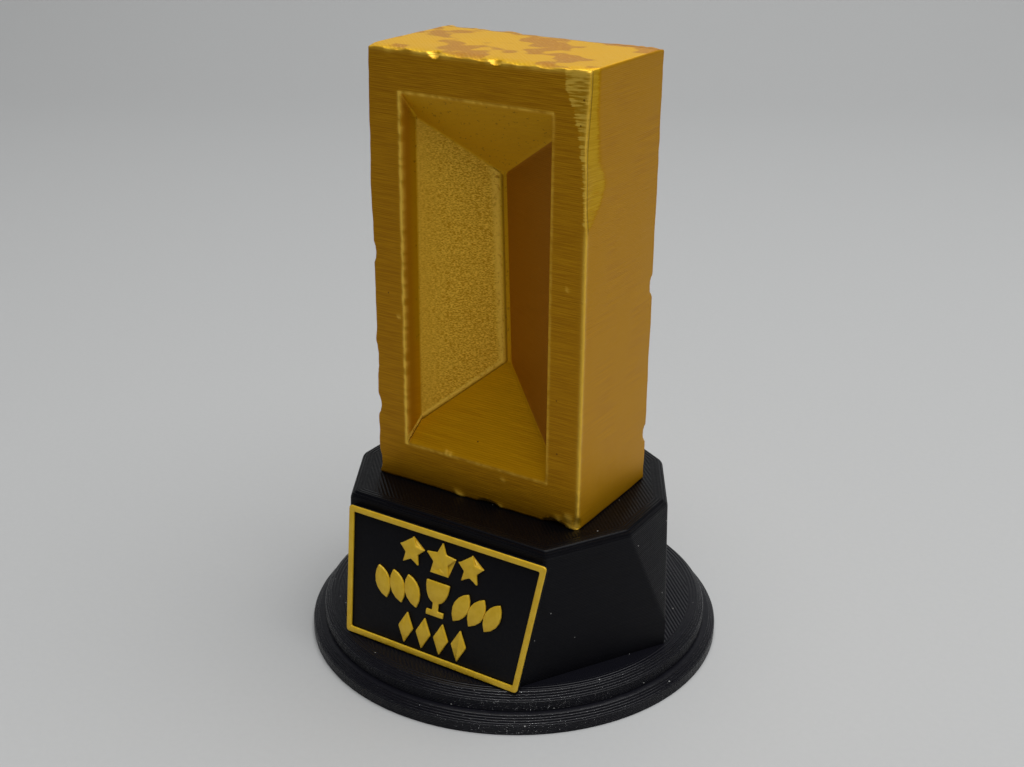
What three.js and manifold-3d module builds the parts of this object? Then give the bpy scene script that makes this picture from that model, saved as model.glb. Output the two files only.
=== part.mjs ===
// A small printed award: a gold house brick standing on a black pedestal with a two-tier round foot
// and an ornamented plaque. Millimetres, +Z up, front towards -Y. The origin is the centre of the
// foot's underside.
import * as THREE from "three";
import { ConvexGeometry } from "three/addons/geometries/ConvexGeometry.js";
import { mergeVertices } from "three/addons/utils/BufferGeometryUtils.js";
import Module from "manifold-3d";

const wasm = await Module();
wasm.setup();

// ---------------------------------------------------------------- driving dimensions
const CONTACT_GAP = 0.02; // air between pieces that are glued face to face

const FOOT = {
  lowerRadius: 24.65,
  upperRadius: 23.2,
  tierHeight: 2.05,
  bevel: 0.8,
  segments: 128,
};

// A six-sided prism whose upright edges are cut away towards the top by leaning triangular facets,
// and whose front is cut by a leaning face that carries the plaque.
const PEDESTAL = {
  centreX: 0.3,
  centreY: -1.6, // it stands a little forward of the foot's centre
  height: 15.9,
  sideReach: 18.25, // from the centre to each side of the prism
  facetReach: 18.5, // to the facets, at the shoulder
  facetTipHeight: 3.0, // the facets start here, each as a point on an upright edge
  frontReachTop: 13.8, // to the front face, at the shoulder
  frontReachBottom: 17.25,
  bevel: 0.9,
  bevelMidOut: 0.62, // the bevel is slightly rounded: its middle line, out from the top edge
  bevelMidDown: 0.3,
};

const BRICK = { width: 27.1, depth: 15.6, height: 50, centreX: 0.33, centreY: -1.47 };

const FROG = {
  halfWidth: 9.3, // at the brick's face
  bottom: 4.8, // height of the recess's lower edge above the brick's underside
  top: 45.3,
  wallDepth: 1.93, // the steep side walls end here and the side slopes start
  wallHalfWidth: 8.5, // at the foot of the side walls
  floorHalfWidth: 0.4,
  floorBottom: 14.6,
  floorTop: 37.0,
  floorBottomDepth: 7.0, // the narrow floor leans: it is deeper at its lower end
  floorTopDepth: 5.6,
};

const PLATE = {
  shiftX: 0.55, // the plate is stuck on a little to the right of the face's middle
  topGap: 0.4,
  length: 14.9,
  topHalfWidth: 13.2,
  bottomHalfWidth: 11.65,
  thickness: 0.4,
  cornerRadius: 0.45,
};
const RAISED = 0.3; // height of the gold border and ornaments
const BORDER_WIDTH = 0.68;

const ROWS = { first: 3.05, second: 7.6, third: 12.0 }; // down the plate from its upper edge
const STAR = { radius: 2.1, sideRadius: 1.8, waist: 0.48, pitch: 3.95, roundness: 0.16 };
const LEAF = { length: 3.9, width: 1.5, pitch: 2.05, first: 3.3, tilt: 24 };
const CUP = { height: 4.0, bowlHalfWidth: 1.55, stemHalfWidth: 0.38, footHalfWidth: 1.15 };
const LOZENGE = { count: 4, halfWidth: 1.0, halfHeight: 1.85, pitch: 2.4 };

// ---------------------------------------------------------------- materials
const blackPlastic = () => new THREE.MeshStandardMaterial({ color: 0x17171b, roughness: 0.45, metalness: 0 });
const goldPlastic = () => new THREE.MeshStandardMaterial({ color: 0xc8961e, roughness: 0.35, metalness: 0.3 });
const yellowPlastic = () => new THREE.MeshStandardMaterial({ color: 0xd0a41e, roughness: 0.45, metalness: 0.1 });

// ---------------------------------------------------------------- helpers
const radians = THREE.MathUtils.degToRad;

function named(name, geometry, material) {
  const mesh = new THREE.Mesh(geometry, material);
  mesh.name = name;
  return mesh;
}

function solidFrom(geometry) {
  const bare = geometry.clone();
  bare.deleteAttribute("normal");
  bare.deleteAttribute("uv");
  const merged = mergeVertices(bare, 1e-4);
  const mesh = new wasm.Mesh({
    numProp: 3,
    vertProperties: new Float32Array(merged.attributes.position.array),
    triVerts: new Uint32Array(merged.index.array),
  });
  return new wasm.Manifold(mesh);
}

function geometryFrom(solid) {
  const mesh = solid.getMesh();
  const geometry = new THREE.BufferGeometry();
  geometry.setAttribute("position", new THREE.BufferAttribute(mesh.vertProperties, 3));
  geometry.setIndex(new THREE.BufferAttribute(mesh.triVerts, 1));
  geometry.computeVertexNormals();
  return geometry;
}

function convexBody(points) {
  return new ConvexGeometry(points.map(([x, y, z]) => new THREE.Vector3(x, y, z)));
}

function slab(shape, thickness) {
  return new THREE.ExtrudeGeometry(shape, { depth: thickness, bevelEnabled: false, curveSegments: 6 });
}

// ---------------------------------------------------------------- foot
function footGeometry() {
  const { lowerRadius, upperRadius, tierHeight, bevel, segments } = FOOT;
  const profile = [
    [0, 0],
    [lowerRadius, 0],
    [lowerRadius, tierHeight - bevel],
    [lowerRadius - bevel, tierHeight],
    [upperRadius, tierHeight],
    [upperRadius, 2 * tierHeight - bevel],
    [upperRadius - bevel, 2 * tierHeight],
    [0, 2 * tierHeight],
  ];
  const lathe = new THREE.LatheGeometry(profile.map(([r, z]) => new THREE.Vector2(r, z)), segments);
  return lathe.rotateX(Math.PI / 2);
}

// ---------------------------------------------------------------- pedestal
// The corners of an outline at one height. Each side is [the direction it faces, in degrees from +X,
// and its distance from the centre]; a corner lies where a side meets the next one.
function outlineCorners(sides, inset, z) {
  return sides.map(([facing, reach], i) => {
    const [nextFacing, nextReach] = sides[(i + 1) % sides.length];
    const [a, b] = [radians(facing), radians(nextFacing)];
    const [p, q] = [reach - inset, nextReach - inset];
    const turn = Math.sin(b - a);
    return [(p * Math.sin(b) - q * Math.sin(a)) / turn, (q * Math.cos(a) - p * Math.cos(b)) / turn, z];
  });
}

function pedestalGeometry() {
  const { height, sideReach, facetReach, facetTipHeight, frontReachTop, frontReachBottom } = PEDESTAL;
  const { bevel, bevelMidOut, bevelMidDown } = PEDESTAL;
  const front = -90;
  const prismSides = [-30, 30, 90, 150, 210].map((facing) => [facing, sideReach]);
  const facets = [0, 60, 120, 180].map((facing) => [facing, facetReach]);
  const topSides = [...prismSides, ...facets].sort((s, t) => s[0] - t[0]);
  const edgeReach = sideReach / Math.cos(radians(30));
  const facetTips = facets.map(([facing]) => [
    edgeReach * Math.cos(radians(facing)),
    edgeReach * Math.sin(radians(facing)),
    facetTipHeight,
  ]);
  topSides.unshift([front, frontReachTop]);
  return convexBody([
    ...outlineCorners([[front, frontReachBottom], ...prismSides], 0, 0),
    ...facetTips,
    ...outlineCorners(topSides, 0, height - bevel),
    ...outlineCorners(topSides, bevel - bevelMidOut, height - bevelMidDown),
    ...outlineCorners(topSides, bevel, height),
  ]);
}

// ---------------------------------------------------------------- brick
// The frog: steep side walls, then slopes that run in to a narrow leaning floor. The upper and lower
// slopes start at the face itself. x to the side, y into the brick, z up.
function frogSolid() {
  const { halfWidth, bottom, top, wallDepth, wallHalfWidth, floorHalfWidth } = FROG;
  const { floorBottom, floorTop, floorBottomDepth, floorTopDepth } = FROG;
  const proud = 1; // the cutter stands this far out of the face
  const sideAt = (y) => halfWidth + ((wallHalfWidth - halfWidth) * y) / wallDepth;
  const lowerAt = (y) => bottom + ((floorBottom - bottom) * y) / floorBottomDepth;
  const upperAt = (y) => top + ((floorTop - top) * y) / floorTopDepth;
  const rightHalf = [
    [sideAt(-proud), -proud, lowerAt(-proud)],
    [sideAt(-proud), -proud, upperAt(-proud)],
    [wallHalfWidth, wallDepth, lowerAt(wallDepth)],
    [wallHalfWidth, wallDepth, upperAt(wallDepth)],
    [floorHalfWidth, floorBottomDepth, floorBottom],
    [floorHalfWidth, floorTopDepth, floorTop],
  ];
  return solidFrom(convexBody(rightHalf.flatMap(([x, y, z]) => [[x, y, z], [-x, y, z]])));
}

// Knocked edges: each is a rounded scoop, placed along an edge of the block.
function chipSolids() {
  const side = BRICK.width / 2;
  const back = BRICK.depth;
  const top = BRICK.height;
  const chips = [
    // centre x, y, z           half size x, y, z
    [side + 0.15, -0.25, 46.2, 1.15, 1.0, 5.4],
    [side + 0.3, -0.2, 38.2, 1.0, 0.9, 4.6],
    [side + 0.2, -0.1, 1.2, 1.1, 1.4, 1.5],
    [side - 3.1, -0.2, 0.0, 1.6, 0.8, 0.7],
    [-3.6, -0.2, top + 0.1, 1.7, 0.9, 0.8],
    [2.7, -0.3, top + 0.1, 2.3, 0.9, 0.8],
    [-9.6, -0.3, top + 0.1, 1.6, 0.8, 0.7],
    [-side - 0.2, -0.1, 27.2, 0.7, 0.9, 1.4],
    [-side - 0.2, -0.1, 8.8, 0.8, 0.9, 1.5],
    [-side - 0.2, 0.0, 14.4, 0.6, 0.8, 2.6],
    [1.8, -0.3, -0.1, 1.7, 0.8, 0.7],
    [side + 0.2, back, 24.0, 0.8, 0.8, 1.3],
    [side + 0.2, back, 5.9, 0.7, 0.8, 1.2],
    [-side - 0.1, back, 33.0, 0.9, 0.9, 2.4],
    [4.0, back + 0.2, top, 2.4, 0.8, 0.7],
  ];
  return chips.map(([x, y, z, rx, ry, rz]) => {
    const scoop = new THREE.IcosahedronGeometry(1, 1).scale(rx, ry, rz).translate(x, y, z);
    return solidFrom(scoop);
  });
}

function brickGeometry() {
  const { width, depth, height } = BRICK;
  const block = new THREE.BoxGeometry(width, depth, height).translate(0, depth / 2, height / 2);
  let solid = solidFrom(block).subtract(frogSolid());
  for (const chip of chipSolids()) solid = solid.subtract(chip);
  return geometryFrom(solid).translate(0, -depth / 2, 0);
}

// ---------------------------------------------------------------- plaque
// The plaque is drawn flat, x to the right and y up the slope from the plate's upper edge (y = 0),
// with its thickness towards +z, and is then laid on the pedestal's front face.
const SHOULDER_HEIGHT = PEDESTAL.height - PEDESTAL.bevel;
const FACE_RUN = PEDESTAL.frontReachBottom - PEDESTAL.frontReachTop;
const FACE_LEAN = Math.atan2(FACE_RUN, SHOULDER_HEIGHT);

function plateHalfWidth(down) {
  return THREE.MathUtils.lerp(PLATE.topHalfWidth, PLATE.bottomHalfWidth, down / PLATE.length);
}

// The plate's outline drawn in by an equal distance, with small round corners.
function plateCorners(inset) {
  const upper = plateHalfWidth(inset) - inset;
  const lower = plateHalfWidth(PLATE.length - inset) - inset;
  return [
    new THREE.Vector2(-lower, inset - PLATE.length),
    new THREE.Vector2(lower, inset - PLATE.length),
    new THREE.Vector2(upper, -inset),
    new THREE.Vector2(-upper, -inset),
  ];
}

function roundedOutline(corners, radius, target) {
  corners.forEach((corner, i) => {
    const before = corners[(i + corners.length - 1) % corners.length];
    const after = corners[(i + 1) % corners.length];
    const enter = corner.clone().add(before.clone().sub(corner).setLength(radius));
    const leave = corner.clone().add(after.clone().sub(corner).setLength(radius));
    if (i === 0) target.moveTo(enter.x, enter.y);
    else target.lineTo(enter.x, enter.y);
    target.quadraticCurveTo(corner.x, corner.y, leave.x, leave.y);
  });
  target.closePath();
  return target;
}

function plateGeometry() {
  const outline = roundedOutline(plateCorners(0), PLATE.cornerRadius, new THREE.Shape());
  return slab(outline, PLATE.thickness);
}

function borderGeometry() {
  const outline = roundedOutline(plateCorners(0), PLATE.cornerRadius, new THREE.Shape());
  outline.holes.push(roundedOutline(plateCorners(BORDER_WIDTH), PLATE.cornerRadius / 2, new THREE.Path()));
  return slab(outline, RAISED);
}

function starShape(radius) {
  const tips = 5;
  const corners = Array.from({ length: 2 * tips }, (_, i) => {
    const reach = i % 2 === 0 ? radius : radius * STAR.waist;
    const angle = Math.PI / 2 + (i * Math.PI) / tips;
    return new THREE.Vector2(reach * Math.cos(angle), reach * Math.sin(angle));
  });
  return roundedOutline(corners, STAR.roundness, new THREE.Shape());
}

function leafShape() {
  const tip = LEAF.length / 2;
  const bulge = LEAF.width;
  const shape = new THREE.Shape();
  shape.moveTo(0, -tip);
  shape.bezierCurveTo(bulge, -tip * 0.35, bulge * 0.75, tip * 0.55, 0, tip);
  shape.bezierCurveTo(-bulge * 0.75, tip * 0.55, -bulge, -tip * 0.35, 0, -tip);
  return shape;
}

function cupShape() {
  const { height, bowlHalfWidth, stemHalfWidth, footHalfWidth } = CUP;
  const rim = height / 2;
  const bowlBottom = -height * 0.12;
  const footTop = -height * 0.34;
  const shape = new THREE.Shape();
  shape.moveTo(-footHalfWidth, -rim);
  shape.lineTo(footHalfWidth, -rim);
  shape.lineTo(footHalfWidth, footTop);
  shape.lineTo(stemHalfWidth, footTop);
  shape.lineTo(stemHalfWidth, bowlBottom);
  shape.quadraticCurveTo(bowlHalfWidth, 0, bowlHalfWidth, rim);
  shape.lineTo(-bowlHalfWidth, rim);
  shape.quadraticCurveTo(-bowlHalfWidth, 0, -stemHalfWidth, bowlBottom);
  shape.lineTo(-stemHalfWidth, footTop);
  shape.lineTo(-footHalfWidth, footTop);
  shape.closePath();
  return shape;
}

function lozengeShape() {
  const { halfWidth, halfHeight } = LOZENGE;
  const corners = [
    new THREE.Vector2(0, -halfHeight),
    new THREE.Vector2(halfWidth, 0),
    new THREE.Vector2(0, halfHeight),
    new THREE.Vector2(-halfWidth, 0),
  ];
  return roundedOutline(corners, STAR.roundness, new THREE.Shape());
}

function ornament(name, shape, x, down, tilt = 0) {
  const mesh = named(name, slab(shape, RAISED), yellowPlastic());
  mesh.position.set(x, -down, PLATE.thickness + CONTACT_GAP);
  mesh.rotation.z = radians(tilt);
  return mesh;
}

function starRow() {
  return [
    ornament("star_left", starShape(STAR.sideRadius), -STAR.pitch, ROWS.first),
    ornament("star_centre", starShape(STAR.radius), 0, ROWS.first),
    ornament("star_right", starShape(STAR.sideRadius), STAR.pitch, ROWS.first),
  ];
}

function cupAndLeavesRow() {
  const row = [ornament("cup", cupShape(), 0, ROWS.second)];
  for (const [side, sign] of [["left", -1], ["right", 1]]) {
    for (let i = 0; i < 3; i += 1) {
      const x = sign * (LEAF.first + i * LEAF.pitch);
      row.push(ornament(`leaf_${side}_${i + 1}`, leafShape(), x, ROWS.second, -sign * LEAF.tilt));
    }
  }
  return row;
}

function lozengeRow() {
  const first = (-(LOZENGE.count - 1) * LOZENGE.pitch) / 2;
  return Array.from({ length: LOZENGE.count }, (_, i) =>
    ornament(`lozenge_${i + 1}`, lozengeShape(), first + i * LOZENGE.pitch, ROWS.third),
  );
}

function plaqueGroup() {
  const border = named("plaque_border", borderGeometry(), yellowPlastic());
  border.position.z = PLATE.thickness + CONTACT_GAP;
  const plaque = new THREE.Group();
  plaque.add(named("plaque_plate", plateGeometry(), blackPlastic()), border);
  plaque.add(...starRow(), ...cupAndLeavesRow(), ...lozengeRow());
  plaque.rotation.x = Math.PI / 2 - FACE_LEAN;
  plaque.position.set(0, -PEDESTAL.frontReachTop, SHOULDER_HEIGHT);
  plaque.translateX(PLATE.shiftX);
  plaque.translateY(-PLATE.topGap);
  plaque.translateZ(CONTACT_GAP);
  return plaque;
}

// ---------------------------------------------------------------- assembly
function trophy() {
  const footHeight = 2 * FOOT.tierHeight;
  const stand = new THREE.Group();
  stand.position.set(PEDESTAL.centreX, PEDESTAL.centreY, footHeight);
  stand.add(named("pedestal", pedestalGeometry(), blackPlastic()), plaqueGroup());

  const brick = named("brick", brickGeometry(), goldPlastic());
  brick.position.set(BRICK.centreX, BRICK.centreY, footHeight + PEDESTAL.height);

  const group = new THREE.Group();
  group.add(named("foot", footGeometry(), blackPlastic()), stand, brick);
  return group;
}

export default trophy();
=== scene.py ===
import math

import bmesh
import bpy
import numpy as np
from mathutils import Matrix, Vector


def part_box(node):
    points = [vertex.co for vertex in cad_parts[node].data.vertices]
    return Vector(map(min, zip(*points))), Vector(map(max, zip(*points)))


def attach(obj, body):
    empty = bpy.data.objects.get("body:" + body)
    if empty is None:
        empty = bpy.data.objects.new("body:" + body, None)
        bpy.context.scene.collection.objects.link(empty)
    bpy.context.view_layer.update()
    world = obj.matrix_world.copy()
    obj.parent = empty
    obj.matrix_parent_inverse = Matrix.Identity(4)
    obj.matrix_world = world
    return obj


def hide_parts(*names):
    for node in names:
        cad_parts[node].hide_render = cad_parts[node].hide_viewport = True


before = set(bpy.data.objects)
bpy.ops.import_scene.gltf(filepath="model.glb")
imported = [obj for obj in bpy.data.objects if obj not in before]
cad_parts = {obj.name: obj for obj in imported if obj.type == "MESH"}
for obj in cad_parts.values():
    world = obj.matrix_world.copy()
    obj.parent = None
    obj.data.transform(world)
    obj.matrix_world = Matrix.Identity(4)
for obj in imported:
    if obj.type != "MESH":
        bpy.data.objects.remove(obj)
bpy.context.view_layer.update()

# A small printed award: a gold brick on a black pedestal with a round foot and a plaque.
# Lengths here are millimetres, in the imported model's own frame, and meshes are scaled to metres.
MM = 0.001
VIEW_AZIMUTH = 32.09  # degrees round from the front, towards the right
LAYER = 0.2  # height of one printed layer
LINE = 0.4  # width of one printed line
# The rounded side of a layer: shares of its height, and how far in its side lies there.
LAYER_PROFILE = ((0.0, 0.04), (0.2, 0.01), (0.5, 0.0), (0.8, 0.01), (0.96, 0.04))
LAYER_SLANT = 0.4  # how much of a slope each layer's own side takes up; the rest is a step
RIM_LINES = 3  # lines that run round the edge of a top surface before the diagonal filling starts

FOOT_TIER = 2.05
FOOT_BEVEL = 0.8
FOOT_UPPER_RADIUS = 23.2
FOOT_POINTS = 224

PEDESTAL_BEVEL = 0.9
PEDESTAL_FACET_REACH = 18.5  # centre to the triangular facets, at the shoulder
PEDESTAL_FACET_TIP = 3.0  # height at which the facets start
PEDESTAL_FACE_RUN = 3.45  # how far the leaning front face comes in from its foot to the shoulder
PEDESTAL_CORNER = 0.32  # how far the rounding of an upright corner reaches along each side
CORNER_STEPS = 4
PEDESTAL_ROUNDNESS = 0.4  # how strongly its layers bulge, next to the foot's
SHARP_FROM = 40  # degrees of turn from which an edge is shaded sharp
SOFT_SHARP_FROM = 50  # the same on the brick and the plaque, whose edges are softer

# The hollow in the brick: half widths from its middle, heights from its underside and depths
# from its face.
FROG = {
    "half_width": 9.3,
    "bottom": 4.8,
    "top": 45.3,
    "wall_depth": 1.93,
    "wall_half_width": 8.5,
    "floor_half_width": 0.4,
    "floor_bottom": 14.6,
    "floor_top": 37.0,
    "floor_bottom_depth": 7.0,
    "floor_top_depth": 5.6,
}

# The raised lips round the hollow: height, how far past its mouth, and width.
LIPS = {
    "left": (0.2, 0.12, 0.2),
    "right": (0.05, 0.15, 0.16),
    "lower": (0.06, 0.1, 0.16),
    "upper": (0.08, 0.1, 0.16),
}
FAR_OFF = -9.0  # what a mark of the hollow says on the other faces
LIP_OVERRUN = 0.2  # how far a lip goes on past the corner of the mouth
# A lip's painted highlight is full from this height up.
LIP_FULL_HIGHLIGHT = 0.13  # height at which a lip is as bright as it gets

# The brick's block: half its width, its depth and its height.
EDGE = 13.55
BACK = 15.6
TOP = 50.0
BLOCK_LOW = np.array([-EDGE, 0, 0])
BLOCK_HIGH = np.array([EDGE, BACK, TOP])
BRICK_EDGE_RADIUS = 0.22
BRICK_STEPS = (0.3, 0.36, 0.28)  # mesh spacing along x, y and z
BRICK_FINE_STEP = 0.12  # spacing beside edges and lips

# Knocked edges of the brick: centre x from its middle, y from its face, z from its underside,
# then the half sizes of the rounded scoop.
CHIPS = [
    (EDGE + 0.2, -0.2, 0.6, 0.9, 1.0, 1.0),
    (EDGE - 3.1, -0.2, 0.0, 1.6, 0.8, 0.7),
    (-4.9, -0.2, TOP + 0.1, 0.8, 0.9, 0.9),
    (-4.0, -0.3, TOP + 0.2, 0.9, 0.7, 0.6),
    (0.9, -0.3, TOP + 0.2, 1.2, 0.8, 0.7),
    (2.6, -0.3, TOP + 0.1, 1.0, 0.9, 0.8),
    (5.2, -0.3, TOP + 0.2, 1.4, 0.8, 0.6),
    (-9.6, -0.4, TOP + 0.2, 1.6, 0.8, 0.6),
    (-EDGE - 0.2, -0.1, 27.2, 0.7, 0.9, 1.4),
    (-EDGE - 0.2, -0.1, 8.8, 0.8, 0.9, 1.5),
    (-EDGE - 0.2, 0.0, 14.4, 0.6, 0.8, 2.6),
    (-EDGE - 0.2, -0.1, 1.6, 0.7, 0.8, 1.6),
    (1.8, -0.3, -0.1, 1.7, 0.8, 0.7),
    (EDGE + 0.2, BACK, 24.0, 0.8, 0.8, 1.3),
    (EDGE + 0.2, BACK, 5.9, 0.7, 0.8, 1.2),
    (-EDGE - 0.1, BACK, 33.0, 0.9, 0.9, 2.4),
    (4.0, BACK + 0.2, TOP, 2.4, 0.8, 0.7),
]
CHIP_FULL_DEPTH = 0.25  # how deep a chip has to be to look fully chipped
CHIP_JAG = 0.05

# The long worn strip on the front right edge: a height, then how far the strip reaches from the
# edge across the face and across the side.
WORN_STRIP = [
    (33.3, 0.0, 0.0),
    (34.5, 0.4, 1.2),
    (36.5, 0.5, 3.0),
    (38.5, 0.6, 3.8),
    (40.5, 0.75, 2.6),
    (43.0, 1.1, 2.1),
    (46.0, 1.9, 1.8),
    (48.0, 2.8, 1.8),
    (50.0, 2.9, 1.8),
]

STRIP_FACE_WEAR = (0.2, 2.9)  # share of the reach that is worn off, and the reach it stops at
STRIP_SIDE_WEAR = (0.22, 2.2)

# How far the upright edges wander: which side in x, which in y (0 the front), and how much.
EDGE_WANDER = ((-1, 0, 0.16), (1, 1, 0.1), (1, 0, 0.05), (-1, 1, 0.14))
TOP_WANDER = 0.14

# The seam up the front right edge: width, how far it stands out in x and y, and the heights
# between which it fades to its faint upper part.
SEAM_WIDTH = 0.3
SEAM_RAISE = (0.1, 0.14)
SEAM_FADE = (33.0, 34.5)
SEAM_FAINT = 0.4
TOP_RIM_WIDTH = 0.4

# Small burrs on the face: x from the middle, height and size.
BURRS = [
    (-2.3, 0.2, 0.42),
    (-1.7, 0.1, 0.3),
    (3.4, 0.15, 0.3),
    (11.0, 0.7, 0.4),
    (12.3, 1.3, 0.45),
    (12.6, 0.3, 0.5),
    (-3.9, 5.0, 0.22),
    (-3.3, 4.9, 0.2),
    (3.8, 3.6, 0.22),
    (11.5, 27.5, 0.18),
    (-8.6, 34.6, 0.2),
    (-10.1, 20.2, 0.2),
]


# ---------------------------------------------------------------- meshes
def mesh_piece(name, points, faces, finish, marks=None):
    """A mesh object from points in millimetres. marks are named values, one for each point."""
    mesh = bpy.data.meshes.new(name)
    mesh.from_pydata((np.asarray(points) * MM).tolist(), [], [list(f) for f in faces])
    for label, values in (marks or {}).items():
        layer = mesh.attributes.new(label, "FLOAT", "POINT")
        layer.data.foreach_set("value", np.asarray(values, np.float32))
    mesh.materials.append(finish)
    piece = bpy.data.objects.new(name, mesh)
    bpy.context.scene.collection.objects.link(piece)
    return piece


def shade(piece, degrees):
    """Smooth shading, broken where the surface turns by more than that angle."""
    piece.data.shade_smooth()
    piece.data.set_sharp_from_angle(angle=math.radians(degrees))


def stand_for(piece, node):
    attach(piece, "root")
    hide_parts(node)


RANDOM = np.random.default_rng(12)
NOISE_CELLS = 64
NOISE_TABLE = RANDOM.uniform(-1, 1, (NOISE_CELLS, NOISE_CELLS, NOISE_CELLS))


def noise(points, cell):
    """Smooth noise from -1 to 1 at each point, with bumps about one cell wide. cell is one size
    or a size for each axis."""
    scaled = np.asarray(points) / np.asarray(cell)
    low = np.floor(scaled).astype(int)
    share = scaled - low
    share = share * share * (3 - 2 * share)
    value = np.zeros(len(scaled))
    for corner in np.ndindex(2, 2, 2):
        weight = np.prod(np.where(corner, share, 1 - share), axis=1)
        value += weight * NOISE_TABLE[tuple(((low + corner) % NOISE_CELLS).T)]
    return value


def ring_stack(rings):
    """Faces of a closed body made of rings, each with the same number of points, from the
    bottom to the top."""
    count = len(rings[0])
    first = np.arange(count)
    following = (first + 1) % count
    faces = []
    for level in range(len(rings) - 1):
        low = level * count
        high = low + count
        faces += np.stack([low + first, low + following, high + following, high + first], 1).tolist()
    faces.append(first[::-1].tolist())
    faces.append((first + (len(rings) - 1) * count).tolist())
    return faces


def printed_rings(outline, bottom, top, roundness=1.0):
    """Rings up the side of a print, with each layer's side rounded. outline(z, inset) gives one
    ring's points."""
    count = round((top - bottom) / LAYER)
    layer = (top - bottom) / count
    rings = []
    for level in range(count):
        low = bottom + level * layer
        for share, inset in LAYER_PROFILE:
            ring = outline(low + (0.5 + LAYER_SLANT * (share - 0.5)) * layer, roundness * inset)
            rings.append(np.column_stack([ring, np.full(len(ring), low + share * layer)]))
    return rings


def top_rings(outline, top):
    """Rings across a top surface, one for each line that runs round its edge."""
    rings = []
    for line in range(1, RIM_LINES + 1):
        ring = outline(top - LAYER / 2, line * LINE)
        rings.append(np.column_stack([ring, np.full(len(ring), top)]))
    return rings


def ringed_print(node, sides, outline, top, finish):
    """A black print made of rings. rim says how far in from the edge of its top a point lies."""
    rings = sides + top_rings(outline, top)
    rim = [0.0] * len(sides) + [line * LINE for line in range(1, RIM_LINES + 1)]
    marks = {"rim": np.repeat(rim, len(rings[0]))}
    piece = mesh_piece(node + "_print", np.concatenate(rings), ring_stack(rings), finish, marks)
    shade(piece, SHARP_FROM)
    stand_for(piece, node)


# ---------------------------------------------------------------- materials
PLA_IOR = 1.46

GOLD_COLOURS = {
    "body_deep": "#c68b03",
    "body_light": "#d09606",
    "body_cloud": "#cc9203",
    # Painted shade: the front, the right slope and the left wall of the hollow are deeper than the light
    # alone makes them.
    "front_painted_shade_deep": "#ac7403",
    "front_painted_shade_light": "#c38b0c",
    "right_slope": "#a66900",
    "left_wall": "#b47603",
    # Painted light: the left slope is lighter, and its light speckles are painted glints.
    "left_slope_deep": "#c88c08",
    "left_slope_painted_glint": "#ffd048",
    "upper_slope": "#c49808",
    "pore_shade": "#7c5606",
    "scuff_deep": "#b88a16",
    "scuff_light": "#f0c850",
    "side_scuff_deep": "#d8aa1c",
    "side_scuff_light": "#e6ba2c",
    "pit_shade": "#80560a",
    # Painted shade in the creases.
    "shaded_crease": "#6e4a04",
    # Painted highlights on the beads and lips.
    "bead_highlight": "#ffcf4c",
    "top": "#f0b824",
    "top_patch_sheen": "#cf902e",
    "top_spot": "#eec044",
    "top_groove_shade": "#a4670e",
    "top_bead_highlight": "#f8c626",
}

# Streaks in the gold: length and height in millimetres, then the noise's detail.
GOLD_STREAKS = {
    "ripple": (1.3, 0.3, 2.0),
    "line": (7.0, 0.24, 1.0),
    "face_line": (4.5, 0.13, 2.0),
    "scratch": (2.0, 0.22, 2.0),
    "speck": (0.26, 0.12, 3.0),
    "patch": (3.2, 9.0, 1.0),
}

# Round-grained noise in the gold: size in millimetres, then detail.
GOLD_GRAINS = {
    "cloud": (6.0, 2.0),
    "spots": (0.4, 2.0),
}

# How far each pattern stands out of the gold, or sinks in, in millimetres.
GOLD_RELIEF = {
    "layers": 0.004,
    "line": 0.014,
    "face_line": 0.02,
    "ripple": 0.018,
    "cloud": 0.05,
    "filling": 0.008,
    "top_spots": 0.06,
    "groove": -0.08,
    "left_slope_grain": 0.06,
    "scuffs": 0.05,
    "worn": -0.03,
    "ridge": 0.12,
    "shaded_creases": -0.06,
    "pits": -0.05,
}

# Lines drawn on the brick along one value of a mark: that value and the line's half width.
RIDGE = (0.2, 0.34)
CREASE = (-0.12, 0.12)
STRIP_EDGE = (0.0, 0.2)
STRIP_SEAM = (0.34, 0.14)
TOP_GROOVE = (1.1, 0.42)

# Where one part of the hollow gives way to the next, as a range of x or z in the model's frame.
LEFT_WALL_X = (-8.3, -8.7)
LEFT_SLOPE_ROUGHENS_X = (-8.2, -4.5)
LOWER_SLOPE_ENDS_Z = (36.0, 38.0)


def srgb(hex_colour):
    """A hex colour as linear values for a shader."""
    channels = [int(hex_colour[i : i + 2], 16) / 255 for i in (1, 3, 5)]
    linear = [c / 12.92 if c <= 0.04045 else ((c + 0.055) / 1.055) ** 2.4 for c in channels]
    return (*linear, 1.0)


def gold(name):
    return srgb(GOLD_COLOURS[name])


def add(tree, kind, inputs=None, **settings):
    """Adds a node. An input is a number, a colour or another node's output."""
    node = tree.nodes.new("ShaderNode" + kind)
    for name, value in settings.items():
        setattr(node, name, value)
    for name, value in (inputs or {}).items():
        if isinstance(value, bpy.types.NodeSocket):
            tree.links.new(value, node.inputs[name])
        else:
            node.inputs[name].default_value = value
    return node


def math_of(tree, operation, *values):
    return add(tree, "Math", dict(enumerate(values)), operation=operation).outputs[0]


def product(tree, first, *others):
    for other in others:
        first = math_of(tree, "MULTIPLY", first, other)
    return first


def largest(tree, first, *others):
    for other in others:
        first = math_of(tree, "MAXIMUM", first, other)
    return first


def opposite(tree, value):
    return math_of(tree, "SUBTRACT", 1.0, value)


def total(tree, *parts):
    """The sum of values, each given with its share."""
    value = 0.0
    for part, share in parts:
        value = math_of(tree, "MULTIPLY_ADD", part, share, value)
    return value


def mix_colour(tree, share, first, second):
    mixed = add(tree, "Mix", {0: share, 6: first, 7: second}, data_type="RGBA")
    return mixed.outputs[2]


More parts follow.
